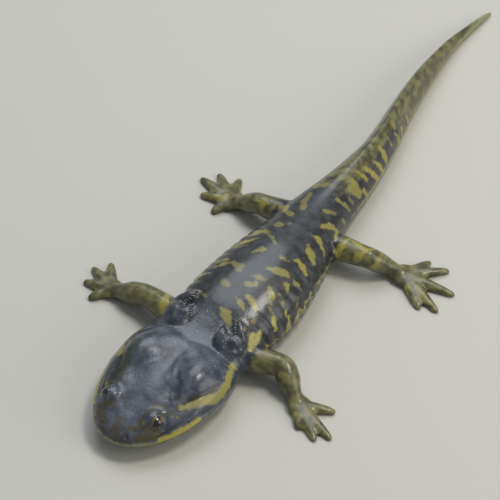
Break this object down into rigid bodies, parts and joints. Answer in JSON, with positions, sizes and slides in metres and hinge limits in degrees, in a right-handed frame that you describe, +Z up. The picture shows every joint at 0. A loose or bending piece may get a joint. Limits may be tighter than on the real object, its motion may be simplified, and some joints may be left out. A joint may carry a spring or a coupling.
{
  "type": "tiger salamander model",
  "caption": "Still, life-size tiger salamander with short gill lobes, lying flat with its legs spread and its long tail gently curved.",
  "frame": {"origin": "centre of the animal's bounding box at the height of the floor that it lies on", "axes": "-Y towards the snout and +Y towards the tail, +X towards the animal's left side, +Z up"},
  "size_m": [0.1118, 0.2506, 0.0216],
  "materials": {
    "slate_skin": "wet",
    "olive_skin": "wet",
    "yellow_skin": "wet",
    "gill_skin": "wet",
    "eye": "polished"
  },
  "bodies": {
    "root": {"head": "slate_skin", "lower_jaw": "yellow_skin", "eye_left": "eye", "eye_right": "eye", "gills_left": "gill_skin", "gills_right": "gill_skin", "neck": "slate_skin", "torso_front": "slate_skin", "torso_middle": "slate_skin", "torso_rear": "slate_skin", "tail_base": "olive_skin", "tail_middle": "olive_skin", "tail_tip": "olive_skin", "foreleg_left_upper_arm": "olive_skin", "foreleg_left_forearm": "olive_skin", "foreleg_left_hand": "olive_skin", "foreleg_right_upper_arm": "olive_skin", "foreleg_right_forearm": "olive_skin", "foreleg_right_hand": "olive_skin", "hindleg_left_thigh": "olive_skin", "hindleg_left_shank": "olive_skin", "hindleg_left_foot": "olive_skin", "hindleg_right_thigh": "olive_skin", "hindleg_right_shank": "olive_skin", "hindleg_right_foot": "olive_skin"}
  },
  "joints": []
}
